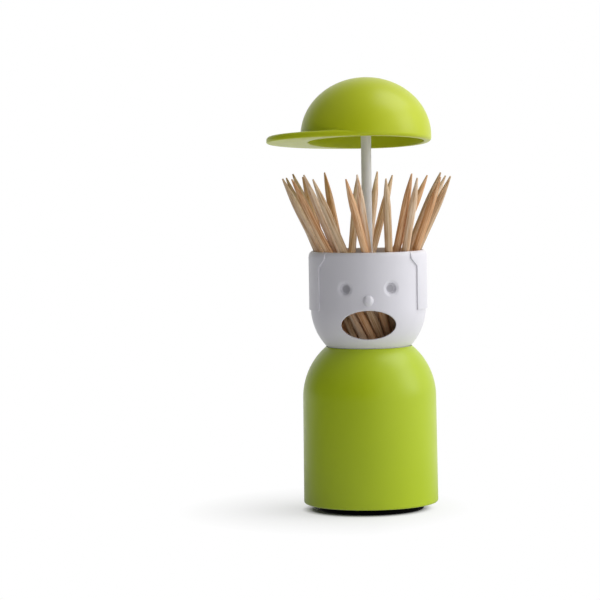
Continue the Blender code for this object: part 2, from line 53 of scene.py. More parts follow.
COUPLINGS = {coupling["joint"]: coupling for coupling in BEHAVIOUR["couplings"]}

# Levels and places that the frame gives
FOOT_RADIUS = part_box("foot_pad")[1][0]
FOOT_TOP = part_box("foot_pad")[1][2]
BODY_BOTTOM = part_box("body_shell")[0][2]
COLLAR_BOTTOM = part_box("head_cup")[0][2]
RIM_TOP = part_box("head_cup")[1][2]
CARRIER_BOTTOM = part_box("carrier_cup")[0][2]
ROD_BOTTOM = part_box("rod")[0][2]
PIVOT = Vector(JOINTS["cap_tilt"]["pos_m"])
LIFT_TRAVEL = -JOINTS["lift"]["range_m"][0]
CAP_TILT = -COUPLINGS["cap_tilt"]["ratio"] * LIFT_TRAVEL

# Foot and body
FOOT_EDGE = FOOT_TOP / 4
BODY_RADIUS = 0.01895
BODY_FOOT_RADIUS = 0.01915
BODY_SIDE_HEIGHT = 0.0302
BODY_WALL = 0.0020
BODY_EDGE = 0.0007
NECK_HOLE_RADIUS = 0.0122

# Head
HEAD_RADIUS = 0.01635
HEAD_SIDE_HEIGHT = 0.01605
HEAD_WALL = 0.0014
HEAD_RIM_WALL = 0.0008
COLLAR_RADIUS = 0.0119
COLLAR_BORE = 0.0102
RIM_FACE_WIDTH = 0.0006
RIM_FACE_HEIGHT = 0.0013
RIM_INNER_ROUND = 0.0002
HEAD_CENTRE = RIM_TOP - HEAD_SIDE_HEIGHT

# Raised hair, which starts under the head's surface; the window over the face is
# cut from WINDOW_START in front of the axis
HAIR_RADIUS = 0.0168
HAIR_ROOT_RADIUS = 0.0158
HAIR_DROP = 0.0005
HAIR_EDGE = 0.00014
HAIR_EDGE_STEPS = 2
RIM_ROUND_WIDTH = 0.0012
RIM_ROUND_HEIGHT = 0.00185
WINDOW_START = 0.004

# Face, in heights over the ball centre of the head
TEMPLE_HALF_WIDTH = 0.0140
TEMPLE_TOP_HALF_WIDTH = 0.0123
TEMPLE_TURN_HEIGHT = 0.0118
TEMPLE_TOP_HEIGHT = 0.0141
EYE_SPACING = 0.0131
EYE_HEIGHT = 0.0059
EYE_FLOOR_RADIUS = 0.0013
EYE_REACH = 0.00045
EYE_DEPTH = 0.0007
EYE_DISH_RADIUS = 0.0015
EYE_DISH_REACH = 0.0010
EYE_DISH_DEPTH = 0.00028
# Painted shade: the eyes' darker tone fades out to this radius
PAINTED_EYE_SHADE_RADIUS = 0.0017
NOSE_CORE_RADIUS = 0.0004
NOSE_REACH = 0.0011
NOSE_RISE = 0.0010
NOSE_HEIGHT = 0.0026
PATCH_RADIUS = 0.0030
INNER_PATCH_RADIUS = 0.0024
MOUTH_HALF_WIDTH = 0.00763
MOUTH_HALF_HEIGHT = 0.0041
MOUTH_DROP = 0.0043
MOUTH_DEPTH = 0.0060
MOUTH_ROUND = 0.00035

# Rod
ROD_RADIUS = 0.00145
SHOULDER_RADIUS = 0.0021
SHOULDER_RISE = 0.0059
SHOULDER_LENGTH = 0.0008
BALL_RADIUS = 0.0022

# Cap, in heights over its rim
CAP_RADIUS = 0.0185
CAP_WALL = 0.0020
CAP_BAND = 0.0019
CAP_DOME_HEIGHT = 0.01648
CAP_EDGE = 0.0010
CAP_INNER_EDGE = 0.0003
PIVOT_RISE = 0.0085
VISOR_REACH = 0.0267
VISOR_HALF_WIDTH = 0.0183
VISOR_OFFSET = 0.0015
VISOR_THICKNESS = 0.0018
VISOR_TOP_EDGE = 0.0009
VISOR_LOW_EDGE = 0.0004
FILLET = 0.0004

# Sticks
PICK_LENGTH = 0.0635
PICK_RADIUS = 0.0011
PICK_TIP_RADIUS = 0.00022
PICK_TAPER = 0.0105
PICK_COUNT = sum(1 for name in JOINTS if name.startswith("toothpick_"))
PICK_PLACE = "stick"

# Modelling: cutters run OVERRUN past what they cut, points nearer than MERGE are
# one, and rows of points on a side lie ROW apart.
OVERRUN = 0.002
MERGE = 0.000001
ROW = 0.0003
FLAT_NORMAL = 0.9
SMOOTH_ANGLE = math.radians(32)
HEAD_SMOOTH_ANGLE = math.radians(50)

# Sides of what is spun or drawn round
LARGE_SIDES = 192
HEAD_SIDES = 384
MOUTH_SIDES = 96
SMALL_SIDES = 48
PICK_SIDES = 20

# Steps of arcs and rows of sides
DOME_STEPS = 60
BALL_STEPS = 40
INNER_BALL_STEPS = 20
HEAD_WALL_ROWS = 16
HAIR_RIM_STEPS = 10
RIM_STEPS = 8
EDGE_STEPS = 6
TAPER_STEPS = 6
FOOT_EDGE_STEPS = 5
MOUTH_ROUND_STEPS = 5
SMALL_EDGE_STEPS = 4
PICK_ROW_STRIDE = 10

# Moulded plastic: how large its lumps are, the part of their noise that shows, how
# much they change the roughness, and how high they stand
FLOW_SIZE = 0.018
FLOW_RANGE = (0.3, 0.7)
WAVE_SIZE = 0.011
WAVE_HEIGHT = 0.00002
SMUDGE_SIZE = 0.006
SMUDGE_RANGE = (0.35, 0.75)
SMUDGE_ROUGHNESS = 0.07
GRAIN_SIZE = 0.00045
GRAIN_ROUGHNESS = 0.06
GRAIN_HEIGHT = 0.0000022

# Wood: fibres and pores lie along the stick, 1 / squash times as long as wide
FIBRE_WIDTH = 0.00042
FIBRE_SQUASH = 0.035
FIBRE_RANGE = (0.36, 0.66)
FIBRE_LIGHT = 0.55
PORE_WIDTH = 0.00022
PORE_SQUASH = 0.09
PORE_RANGE = (0.66, 0.74)
PORE_SHARE = 0.35
PORE_LEVELS = (132, 86, 44)
PORE_RELIEF = 0.5
PATCH_SIZE = 0.012
PATCH_RANGE = (0.4, 0.7)
PATCH_SHARE = 0.35
WOOD_RELIEF = 0.00006
WOOD_ROUGHNESS = 0.62
WOOD_SPECULAR = 0.35

# Rubber, with a little dust
RUBBER_GRAIN_SIZE = 0.0003
RUBBER_RELIEF = 0.00002
RUBBER_ROUGHNESS = 0.75
RUBBER_SPECULAR = 0.08
DUST_SIZE = 0.004
DUST_RANGE = (0.5, 0.8)
DUST_SHARE = 0.1
DUST_LEVELS = (34, 33, 32)

# Studio floor, seen directly: the share of white paper goes from FLOOR_PAPER_SHARE
# at FLOOR_NEAR from the axis to 1 at FLOOR_FAR, and gains a further share on the
# right: painted light that lifts the object's shadow there
FLOOR_SIZE = 6
FLOOR_TONE_SIZE = 0.2
FLOOR_TONES = ((0.90, 0.90, 0.90, 1), (0.92, 0.92, 0.92, 1))
FLOOR_ROUGHNESS = 0.6
FLOOR_SPECULAR = 0.2
FLOOR_NEAR = 0.018
FLOOR_FAR = 0.055
FLOOR_PAPER_SHARE = 0.60
FLOOR_PAINTED_LIGHT_REACH = 0.03
FLOOR_PAINTED_LIGHT_SHARE = 0.30

# Studio floor, mirrored in the object: its brightness from left to right, and what
# it gains further back
FLOOR_SIDE_REACH = 0.20
FLOOR_LEFT = 0.06
FLOOR_RIGHT = 0.85
FLOOR_BACK_REACH = 0.20
FLOOR_BACK = 0.85

# Shadow under the body's edge, a little further out on the left
CONTACT_CENTRE = (-0.0012, 0, 0)
CONTACT_INNER = 0.0154
CONTACT_OUTER = 0.0188

# Studio light; the mirrored backdrop fades in where the direction's Y goes from
# BACKDROP_EDGE to BACKDROP_FULL
SKY_RIGHT = 1.0
SKY_ABOVE = 0.35
SKY_COLOUR = (0.96, 0.97, 1.0, 1)
BACKDROP_EDGE = 0.35
BACKDROP_FULL = 0.95
BLACK_COLOUR = (0, 0, 0, 1)
WHITE_COLOUR = (1, 1, 1, 1)

# Lamps: name, place, side and power
LAMP_TARGET = (0, 0, 0.06)
SIDE_LAMP = ("side", (0.833, -0.147, 0.368), 0.5, 1.5)
TOP_LAMP = ("top", (0.47, 0.04, 0.83), 0.62, 2.75)
FRONT_LAMP = ("front", (0.42, -0.81, 0.20), 0.3, 0.42)

# Camera, with its lens and sensor in millimetres
CAMERA_PLACE = (0, -0.826, 0.1116)
CAMERA_LENS = 174.7
CAMERA_SENSOR = 36.0
CAMERA_SHIFT = -0.1138
CAMERA_PITCH = math.radians(-3.6)
CAMERA_ROLL = math.radians(-0.85)
CAMERA_CLIP_START = 0.01
CAMERA_CLIP_END = 20.0


# Modelling tools


def deselect():
    if bpy.context.object and bpy.context.object.mode != "OBJECT":
        bpy.ops.object.mode_set(mode="OBJECT")
    bpy.ops.object.select_all(action="DESELECT")


def only(piece):
    deselect()
    piece.select_set(True)
    bpy.context.view_layer.objects.active = piece


def select_where(piece, kind, wanted):
    """Opens a piece for editing, with the points or faces that wanted picks."""
    only(piece)
    bpy.ops.object.mode_set(mode="EDIT")
    bpy.ops.mesh.select_mode(type=kind)
    bpy.ops.mesh.select_all(action="DESELECT")
    bpy.ops.object.mode_set(mode="OBJECT")
    parts = piece.data.vertices if kind == "VERT" else piece.data.polygons
    for part in parts:
        part.select = wanted(part)
    bpy.ops.object.mode_set(mode="EDIT")


def face_outward():
    """Turns all faces of the edited piece outward and ends its editing."""
    bpy.ops.mesh.select_all(action="SELECT")
    bpy.ops.mesh.normals_make_consistent(inside=False)
    bpy.ops.object.mode_set(mode="OBJECT")


def arc(radius_x, radius_z, centre_z, start, end, steps, centre_x=0.0):
    """(radius, height) points of an ellipse arc; angles count from the outside."""
    points = []
    for step in range(steps + 1):
        angle = start + (end - start) * step / steps
        x = centre_x + radius_x * math.cos(angle)
        points.append((x, centre_z + radius_z * math.sin(angle)))
    return points


def edge_inward(radius, width, bottom, steps):
    """Quarter round from a side down and inward to its bottom."""
    return arc(width, width, bottom + width, 0, -math.pi / 2, steps, radius - width)


def edge_outward(radius, width, bottom, steps):
    """Quarter round from a side down and outward to its bottom."""
    end = 1.5 * math.pi
    return arc(width, width, bottom + width, math.pi, end, steps, radius + width)


def side(radius_top, top, radius_bottom, bottom, rows=0):
    """Rows of points down a straight side, close enough to shape later."""
    rows = rows or max(1, round(abs(top - bottom) / ROW))
    points = []
    for row in range(rows + 1):
        along = row / rows
        radius = radius_top + (radius_bottom - radius_top) * along
        points.append((radius, top + (bottom - top) * along))
    return points


def draw(name, start, steps):
    """Draws a line from start step by step, and leaves it open for editing."""
    deselect()
    bpy.ops.mesh.primitive_plane_add(size=ROW)
    piece = bpy.context.object
    piece.name = name
    bpy.ops.object.mode_set(mode="EDIT")
    bpy.ops.mesh.select_mode(type="VERT")
    bpy.ops.mesh.select_all(action="SELECT")
    bpy.ops.mesh.merge(type="CENTER")
    bpy.ops.transform.translate(value=start)
    for step in steps:
        bpy.ops.mesh.extrude_vertices_move(TRANSFORM_OT_translate={"value": step})
    bpy.ops.mesh.select_all(action="SELECT")
    return piece


def lathe(name, profile, sides):
    """Draws a profile of (radius, height) points and spins it round Z."""
    steps = []
    for (radius, height), (next_radius, next_height) in zip(profile, profile[1:]):
        steps.append((next_radius - radius, 0, next_height - height))
    piece = draw(name, (profile[0][0], 0, profile[0][1]), steps)
    bpy.ops.mesh.spin(steps=sides, angle=2 * math.pi, center=(0, 0, 0), axis=(0, 0, 1))
    bpy.ops.mesh.select_all(action="SELECT")
    bpy.ops.mesh.remove_doubles(threshold=MERGE)
    face_outward()
    piece.data.name = name
    return piece


def ring(name, points):
    """A closed line through points."""
    pairs = zip(points, points[1:] + points[:1])
    piece = draw(name, points[0], [Vector(end) - Vector(start) for start, end in pairs])
    bpy.ops.mesh.remove_doubles(threshold=MERGE)
    bpy.ops.object.mode_set(mode="OBJECT")
    return piece


def prism(name, outline, height, widen=1.0):
    """A flat outline in XY, filled, raised along Z and widened there along X."""
    piece = ring(name, [(x, y, 0) for x, y in outline])
    bpy.ops.object.mode_set(mode="EDIT")
    bpy.ops.mesh.select_all(action="SELECT")
    bpy.ops.mesh.edge_face_add()
    bpy.ops.mesh.extrude_region_move(TRANSFORM_OT_translate={"value": (0, 0, height)})
    bpy.ops.transform.resize(value=(widen, 1, 1), center_override=(0, 0, height))
    face_outward()
    return piece


def flare(centre, scale, forward):
    """Extrudes the selected rim forward and widens it round centre."""
    bpy.ops.mesh.extrude_region_move(TRANSFORM_OT_translate={"value": (0, -forward, 0)})
    bpy.ops.transform.resize(value=scale, center_override=centre)


def place(piece, location=(0, 0, 0), rotation=(0, 0, 0)):
    """Moves a piece and puts its place into its mesh."""
    only(piece)
    piece.rotation_euler = Euler(rotation)
    piece.location = location
    bpy.ops.object.transform_apply(location=True, rotation=True, scale=True)
    return piece


def combine(piece, tool, operation):
    """Cuts, joins or crosses piece with tool, which is used up."""
    only(piece)
    modifier = piece.modifiers.new(operation.lower(), "BOOLEAN")
    modifier.operation = operation
    modifier.object = tool
    modifier.solver = "EXACT"
    bpy.ops.object.modifier_apply(modifier=modifier.name)
    bpy.data.objects.remove(tool)
    return piece


def round_edges(piece, width, steps):
    """Rounds every edge by the same width, so that sharper edges lose more."""
    only(piece)
    modifier = piece.modifiers.new("round", "BEVEL")
    modifier.offset_type = "WIDTH"
    modifier.width = width
    modifier.segments = steps
    modifier.limit_method = "ANGLE"
    modifier.angle_limit = SMOOTH_ANGLE
    bpy.ops.object.modifier_apply(modifier=modifier.name)
    return piece


def round_rim(piece, level, width, steps):
    """Rounds the rim of a piece's flat face at a level."""

    def flat_there(face):
        return abs(face.normal.z) > FLAT_NORMAL and abs(face.center.z - level) < MERGE

    select_where(piece, "FACE", flat_there)
    bpy.ops.mesh.region_to_loop()
    bpy.ops.mesh.bevel(offset=width, segments=steps, affect="EDGES")
    bpy.ops.object.mode_set(mode="OBJECT")


def smooth(piece, angle=SMOOTH_ANGLE):
    only(piece)
    bpy.ops.object.shade_smooth_by_angle(angle=angle)
    return piece


def refine(piece, centre, radius):
    """Divides the faces round centre more finely, keeping the surface's curve."""
    select_where(piece, "FACE", lambda face: (face.center - centre).length < radius)
    bpy.ops.mesh.subdivide(number_cuts=1, smoothness=1.0)
    bpy.ops.object.mode_set(mode="OBJECT")


def push(piece, centre, core, reach, move, falloff):
    """Moves the surface within core of centre, and less and less out to reach."""
    select_where(piece, "VERT", lambda vertex: (vertex.co - centre).length < core)
    bpy.ops.transform.translate(
        value=move,
        use_proportional_edit=True,
        proportional_edit_falloff=falloff,
        proportional_size=reach,
    )
    bpy.ops.object.mode_set(mode="OBJECT")


def dress(piece, material):
    piece.data.materials.clear()
    piece.data.materials.append(material)


def finish_piece(piece, node, body, material):
    """Gives a piece its finish and body, in place of its CAD node."""
    dress(piece, material)
    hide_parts(node)
    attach(piece, body)
    return piece


# Shader tools


class Value:
    """A shader socket; arithmetic on it adds Math nodes."""

    def __init__(self, graph, socket):
        self.graph = graph
        self.socket = socket

    def __add__(self, other):
        return self.graph.math("ADD", self, other)

    def __radd__(self, other):
        return self.graph.math("ADD", other, self)

    def __sub__(self, other):
        return self.graph.math("SUBTRACT", self, other)

    def __rsub__(self, other):
        return self.graph.math("SUBTRACT", other, self)

    def __mul__(self, other):
        return self.graph.math("MULTIPLY", self, other)

    def __rmul__(self, other):
        return self.graph.math("MULTIPLY", other, self)


class Graph:
    """The nodes of one material or of the world."""

    def __init__(self, owner):
        owner.use_nodes = True
        self.owner = owner
        self.tree = owner.node_tree
        self.tree.nodes.clear()

    def node(self, kind, settings=None, inputs=None, output=0):
        """Adds a node: settings first, then values or links of its sockets."""
        node = self.tree.nodes.new(kind)
        for key, value in (settings or {}).items():
            if key == "stops":
                self.set_stops(node.color_ramp, value)
            else:
                setattr(node, key, value)
        for key, value in (inputs or {}).items():
            if isinstance(value, Value):
                self.tree.links.new(value.socket, node.inputs[key])
            else:
                node.inputs[key].default_value = value
        return Value(self, node.outputs[output]) if node.outputs else node

    def set_stops(self, ramp, stops):
        while len(ramp.elements) > 1:
            ramp.elements.remove(ramp.elements[-1])
        ramp.elements[0].position, ramp.elements[0].color = stops[0]
        for position, tone in stops[1:]:
            ramp.elements.new(position).color = tone

    def math(self, operation, first, second):
        return self.node("ShaderNodeMath", {"operation": operation}, {0: first, 1: second})

    def place(self, output="Object"):
        return self.node("ShaderNodeTexCoord", output=output)

    def squash(self, place, share):
        """The place with its Z shrunk, which draws a texture out along Z."""
        return self.node("ShaderNodeMapping", inputs={"Vector": place, "Scale": (1, 1, share)})

    def along(self, place, axis):
        return self.node("ShaderNodeSeparateXYZ", inputs={0: place}, output=axis)

    def distance(self, place, centre):
        settings = {"operation": "DISTANCE"}
        return self.node("ShaderNodeVectorMath", settings, {0: place, 1: centre}, "Value")

    def rays(self):
        """1 for the eye's rays, also through glass, and 1 for mirrored ones."""
        outputs = ("Is Camera Ray", "Is Transmission Ray", "Is Glossy Ray")
        eye, through, mirrored = [
            self.node("ShaderNodeLightPath", output=name) for name in outputs
        ]
        return eye + through, mirrored

    def noise(self, place, size, detail, roughness=0.5):
        """Noise from 0 to 1 whose lumps are about size across."""
        inputs = {"Vector": place, "Scale": 1 / size, "Detail": detail, "Roughness": roughness}
        return self.node("ShaderNodeTexNoise", inputs=inputs)

    def ramp(self, value, stops):
        return self.node("ShaderNodeValToRGB", {"stops": stops}, {"Fac": value})

    def between(self, value, low, high, to_low=0.0, to_high=1.0):
        """The value's place from low to high, as one from to_low to to_high."""
        inputs = {"From Min": low, "From Max": high, "To Min": to_low, "To Max": to_high}
        return self.node("ShaderNodeMapRange", inputs={"Value": value, **inputs})

    def mix(self, amount, first, second):
        """A colour between two, by the Mix node's sockets for colours."""
        inputs = {0: amount, 6: first, 7: second}
        return self.node("ShaderNodeMix", {"data_type": "RGBA"}, inputs, output=2)

    def bump(self, height, distance, strength, under=None):
        inputs = {"Height": height, "Distance": distance, "Strength": strength}
        if under:
            inputs["Normal"] = under
        return self.node("ShaderNodeBump", inputs=inputs)

    def principled(self, inputs):
        return self.node("ShaderNodeBsdfPrincipled", inputs=inputs)

    def shader_mix(self, amount, first, second):
        return self.node("ShaderNodeMixShader", inputs={0: amount, 1: first, 2: second})

    def surface(self, shader, output="ShaderNodeOutputMaterial"):
        """Sends the shader to the output and gives back what it is for."""
        self.node(output, inputs={"Surface": shader})
        return self.owner


def colour(red, green, blue):
    """A colour from 8-bit screen values."""
    linear = []
    for level in (red, green, blue):
        share = level / 255
        linear.append(share / 12.92 if share <= 0.04045 else ((share + 0.055) / 1.055) ** 2.4)
    return (*linear, 1.0)


def eye_places():
    """Centre of each eye on the head and the way it faces."""
    places = []
    for across in (-EYE_SPACING / 2, EYE_SPACING / 2):
        swing = math.asin(across / HEAD_RADIUS)
        outward = Vector((math.sin(swing), -math.cos(swing), 0))
        centre = outward * HEAD_RADIUS + Vector((0, 0, HEAD_CENTRE + EYE_HEIGHT))
        places.append((centre, outward))
    return places


def painted_eye_shade(graph, place):
    """Painted shade in the eye dimples: 1 inside the two eyes, fading to 0 at their edges."""
    shade = 0
    for centre, outward in eye_places():
        distance = graph.distance(place, centre)
        shade = shade + graph.between(distance, EYE_FLOOR_RADIUS, PAINTED_EYE_SHADE_RADIUS, 1.0, 0.0)
    return shade


# Materials


def moulded_plastic(name, base, shade, roughness, painted_eye_shade_tone=None):
    """Moulded plastic: a faint flow in the colour, fine grain, light wear in its roughness, and
    painted shade in the eye dimples where a tone for it is given.
    """
    graph = Graph(bpy.data.materials.new(name))
    place = graph.place()
    flow = graph.noise(place, FLOW_SIZE, detail=2.0)
    grain = graph.noise(place, GRAIN_SIZE, detail=3.0, roughness=0.6)
    waves = graph.noise(place, WAVE_SIZE, detail=1.0)
    smudge = graph.noise(place, SMUDGE_SIZE, detail=4.0, roughness=0.65)
    tone = graph.mix(graph.between(flow, *FLOW_RANGE), base, shade)
    # Painted shade: a darker tone inside the eye dimples stands in for the shade in them
    if painted_eye_shade_tone:
        tone = graph.mix(painted_eye_shade(graph, place), tone, painted_eye_shade_tone)
    dull = roughness + graph.between(smudge, *SMUDGE_RANGE) * SMUDGE_ROUGHNESS
    dull = dull + (grain - 0.5) * GRAIN_ROUGHNESS
    swell = graph.bump(waves, WAVE_HEIGHT, strength=0.5)
    normal = graph.bump(grain, GRAIN_HEIGHT, strength=0.6, under=swell)
    inputs = {"Base Color": tone, "Roughness": dull, "Normal": normal}
    return graph.surface(graph.principled({**inputs, "Specular IOR Level": 0.5, "IOR": 1.5}))


def wood(name, light, dark, pale):
    """Birch stick: long fibres along it, short dark pores and a raw surface."""
    graph = Graph(bpy.data.materials.new(name))
    place = graph.node("ShaderNodeAttribute", {"attribute_name": PICK_PLACE}, output="Vector")
    fibre_place = graph.squash(place, FIBRE_SQUASH)
    fibre = graph.noise(fibre_place, FIBRE_WIDTH, detail=4.0, roughness=0.62)
    pores = graph.noise(graph.squash(place, PORE_SQUASH), PORE_WIDTH, detail=2.0)
    patch = graph.noise(place, PATCH_SIZE, detail=2.0)
    stops = [(0.0, dark), (FIBRE_LIGHT, light), (1.0, pale)]
    tone = graph.ramp(graph.between(fibre, *FIBRE_RANGE), stops)
    tone = graph.mix(graph.between(patch, *PATCH_RANGE) * PATCH_SHARE, tone, dark)
    pore = graph.between(pores, *PORE_RANGE) * PORE_SHARE
    tone = graph.mix(pore, tone, colour(*PORE_LEVELS))
    normal = graph.bump(fibre + pores * PORE_RELIEF, WOOD_RELIEF, strength=0.7)
    inputs = {"Base Color": tone, "Roughness": WOOD_ROUGHNESS, "Normal": normal}
    return graph.surface(graph.principled({**inputs, "Specular IOR Level": WOOD_SPECULAR}))


def rubber(name, base):
    graph = Graph(bpy.data.materials.new(name))
    place = graph.place()
    grain = graph.noise(place, RUBBER_GRAIN_SIZE, detail=4.0, roughness=0.6)
    dust = graph.noise(place, DUST_SIZE, detail=5.0, roughness=0.7)
    dust = graph.between(dust, *DUST_RANGE) * DUST_SHARE
    tone = graph.mix(dust, base, colour(*DUST_LEVELS))
    normal = graph.bump(grain, RUBBER_RELIEF, strength=0.8)
    inputs = {"Base Color": tone, "Roughness": RUBBER_ROUGHNESS + dust, "Normal": normal}
    return graph.surface(graph.principled({**inputs, "Specular IOR Level": RUBBER_SPECULAR}))


# The greens are given as linear colours, the rest as screen values.
GREEN = moulded_plastic(
    "green_plastic", (0.485, 0.62, 0.006, 1), (0.47, 0.605, 0.005, 1), roughness=0.32
)
CAP_GREEN = moulded_plastic(
    "cap_green_plastic", (0.57, 0.655, 0.006, 1), (0.555, 0.64, 0.005, 1), roughness=0.33
)
WHITE = moulded_plastic(
    "white_plastic", colour(234, 231, 239), colour(230, 227, 236), roughness=0.36
)
HEAD_WHITE = moulded_plastic(
    "head_plastic",
    colour(234, 232, 237),
    colour(230, 228, 234),
    roughness=0.36,
    # painted shade in the eye dimples
    painted_eye_shade_tone=colour(176, 174, 180),
)
ROD_WHITE = moulded_plastic(
    "rod_plastic", colour(238, 236, 234), colour(233, 231, 229), roughness=0.42
)
NATURAL = moulded_plastic(
    "natural_plastic", colour(216, 216, 208), colour(208, 208, 198), roughness=0.48
)
BLACK = moulded_plastic(
    "black_plastic", colour(26, 26, 27), colour(22, 22, 23), roughness=0.45
)
RUBBER = rubber("black_rubber", colour(3, 3, 3))
WOODS = [
    wood("birch_pale", colour(244, 216, 184), colour(206, 162, 118), colour(251, 232, 210)),
    wood("birch_warm", colour(238, 192, 146), colour(198, 138, 86), colour(247, 212, 172)),
    wood("birch_dull", colour(226, 196, 158), colour(182, 140, 96), colour(240, 214, 184)),
]


# Pieces of the body


def make_foot():
    edge = edge_inward(FOOT_RADIUS, FOOT_EDGE, 0, FOOT_EDGE_STEPS)
    profile = [(0, FOOT_TOP), (FOOT_RADIUS, FOOT_TOP)] + edge + [(0, 0)]
    foot = smooth(lathe("foot_pad_rubber", profile, LARGE_SIDES))
    finish_piece(foot, "foot_pad", "body", RUBBER)


def make_body():
    centre = BODY_BOTTOM + BODY_SIDE_HEIGHT
    inner = BODY_RADIUS - BODY_WALL
    neck = math.acos(NECK_HOLE_RADIUS / BODY_RADIUS)
    inner_neck = math.acos(NECK_HOLE_RADIUS / inner)
    outside = arc(BODY_RADIUS, BODY_RADIUS, centre, neck, 0, BALL_STEPS)
    edge = edge_inward(BODY_FOOT_RADIUS, BODY_EDGE, BODY_BOTTOM, EDGE_STEPS)
    inside = arc(inner, inner, centre, 0, inner_neck, INNER_BALL_STEPS)
    bottom = [(BODY_FOOT_RADIUS - BODY_WALL, BODY_BOTTOM)]
    profile = outside + edge + bottom + inside + outside[:1]
    body = smooth(lathe("body_shell_green", profile, LARGE_SIDES))
    finish_piece(body, "body_shell", "body", GREEN)


def head_profile():
    """The bare head: rim, side, ball, collar, then the bowl and wall inside."""
    inner = HEAD_RADIUS - HEAD_WALL
    rim_inner = HEAD_RADIUS - HEAD_RIM_WALL
    crest = HEAD_RADIUS - RIM_FACE_WIDTH
    rim_start = RIM_TOP - RIM_FACE_HEIGHT
    lip_start = RIM_TOP - RIM_INNER_ROUND
    lip_width = crest - rim_inner
    neck = -math.acos(COLLAR_RADIUS / HEAD_RADIUS)
    inner_neck = -math.acos(COLLAR_BORE / inner)
    rim = arc(RIM_FACE_WIDTH, RIM_FACE_HEIGHT, rim_start, math.pi / 2, 0, RIM_STEPS, crest)
    face = side(HEAD_RADIUS, rim_start, HEAD_RADIUS, HEAD_CENTRE)[1:]
    ball = arc(HEAD_RADIUS, HEAD_RADIUS, HEAD_CENTRE, 0, neck, BALL_STEPS)[1:]
    collar = [(COLLAR_RADIUS, COLLAR_BOTTOM), (COLLAR_BORE, COLLAR_BOTTOM)]
    bowl = arc(inner, inner, HEAD_CENTRE, inner_neck, 0, INNER_BALL_STEPS)
    wall = side(inner, HEAD_CENTRE, rim_inner, lip_start, HEAD_WALL_ROWS)[1:]
    lip = arc(
        lip_width, RIM_INNER_ROUND, lip_start, math.pi, math.pi / 2, SMALL_EDGE_STEPS, crest
    )
    return rim + face + ball + collar + bowl + wall + lip[1:]


def make_hair():
    """Raised layer round the back and temples, open over the face.  The window's
    sides point at the axis, so it widens forward."""
    rim_radius = HAIR_RADIUS - RIM_ROUND_WIDTH
    rim_start = RIM_TOP - RIM_ROUND_HEIGHT
    root = math.acos((HAIR_ROOT_RADIUS - HAIR_RADIUS + RIM_ROUND_WIDTH) / RIM_ROUND_WIDTH)
    bottom = HEAD_CENTRE - HAIR_DROP
    profile = [(HAIR_ROOT_RADIUS, rim_start)]
    profile += arc(
        RIM_ROUND_WIDTH, RIM_ROUND_HEIGHT, rim_start, root, 0, HAIR_RIM_STEPS, rim_radius
    )
    profile += [(HAIR_RADIUS, bottom), (HAIR_ROOT_RADIUS, bottom)]
    profile += [(HAIR_ROOT_RADIUS, rim_start)]
    hair = lathe("hair", profile, HEAD_SIDES)
    edge = [(TEMPLE_HALF_WIDTH, -HAIR_DROP - OVERRUN)]
    edge += side(
        TEMPLE_HALF_WIDTH, TEMPLE_TURN_HEIGHT, TEMPLE_TOP_HALF_WIDTH, TEMPLE_TOP_HEIGHT
    )
    edge += [(TEMPLE_TOP_HALF_WIDTH, HEAD_SIDE_HEIGHT + OVERRUN)]
    right = []
    for width, height in edge:
        swing = math.asin(width / HAIR_RADIUS)
        right.append((WINDOW_START * math.tan(swing), height))
    left = [(-x, z) for x, z in reversed(right)]
    end = HAIR_RADIUS + OVERRUN
    window = prism("face_window", right + left, end - WINDOW_START, end / WINDOW_START)
    place(window, (0, -WINDOW_START, HEAD_CENTRE), (math.pi / 2, 0, 0))
    combine(hair, window, "DIFFERENCE")
    return round_edges(hair, HAIR_EDGE, HAIR_EDGE_STEPS)


def make_mouth():
    """Cutter of the mouth: its rim follows the round head, then flares forward."""
    level = HEAD_CENTRE - MOUTH_DROP
    rim = []
    for step in range(MOUTH_SIDES):
        angle = 2 * math.pi * step / MOUTH_SIDES
        x = MOUTH_HALF_WIDTH * math.cos(angle)
        z = level + MOUTH_HALF_HEIGHT * math.sin(angle)
        drop = min(z - HEAD_CENTRE, 0)
        rim.append((x, MOUTH_ROUND - math.sqrt(HEAD_RADIUS**2 - x**2 - drop**2), z))
    mouth = ring("mouth", rim)
    bpy.ops.object.mode_set(mode="EDIT")
    bpy.ops.mesh.select_all(action="SELECT")
    centre = (0, -HEAD_RADIUS, level)
    width, height = MOUTH_HALF_WIDTH, MOUTH_HALF_HEIGHT
    for step in range(MOUTH_ROUND_STEPS):
        turn, next_turn = [
            math.pi / 2 * (step + along) / MOUTH_ROUND_STEPS for along in (0, 1)
        ]
        forward = MOUTH_ROUND * (math.sin(next_turn) - math.sin(turn))
        spread = MOUTH_ROUND * (math.cos(turn) - math.cos(next_turn))
        scale = ((width + spread) / width, 1, (height + spread) / height)
        flare(centre, scale, forward)
        width += spread
        height += spread
    flare(centre, (1, 1, 1), OVERRUN)
    bpy.ops.mesh.edge_face_add()
    bpy.ops.mesh.select_all(action="SELECT")
    bpy.ops.mesh.region_to_loop()
    flare(centre, (1, 1, 1), -MOUTH_DEPTH)
    bpy.ops.mesh.edge_face_add()
    face_outward()
    return mouth


def make_head():
    head = lathe("head_cup_white", head_profile(), HEAD_SIDES)
    combine(head, make_mouth(), "DIFFERENCE")
    for centre, outward in eye_places():
        refine(head, centre, PATCH_RADIUS)
        refine(head, centre, INNER_PATCH_RADIUS)
        dish = -outward * EYE_DISH_DEPTH
        push(head, centre, EYE_DISH_RADIUS, EYE_DISH_REACH, dish, "SMOOTH")
        push(head, centre, EYE_FLOOR_RADIUS, EYE_REACH, -outward * EYE_DEPTH, "SMOOTH")
    nose = Vector((0, -HEAD_RADIUS, HEAD_CENTRE + NOSE_HEIGHT))
    refine(head, nose, PATCH_RADIUS)
    push(head, nose, NOSE_CORE_RADIUS, NOSE_REACH, Vector((0, -NOSE_RISE, 0)), "SPHERE")
    combine(head, make_hair(), "UNION")
    smooth(head, HEAD_SMOOTH_ANGLE)
    finish_piece(head, "head_cup", "body", HEAD_WHITE)


# Pieces that rise


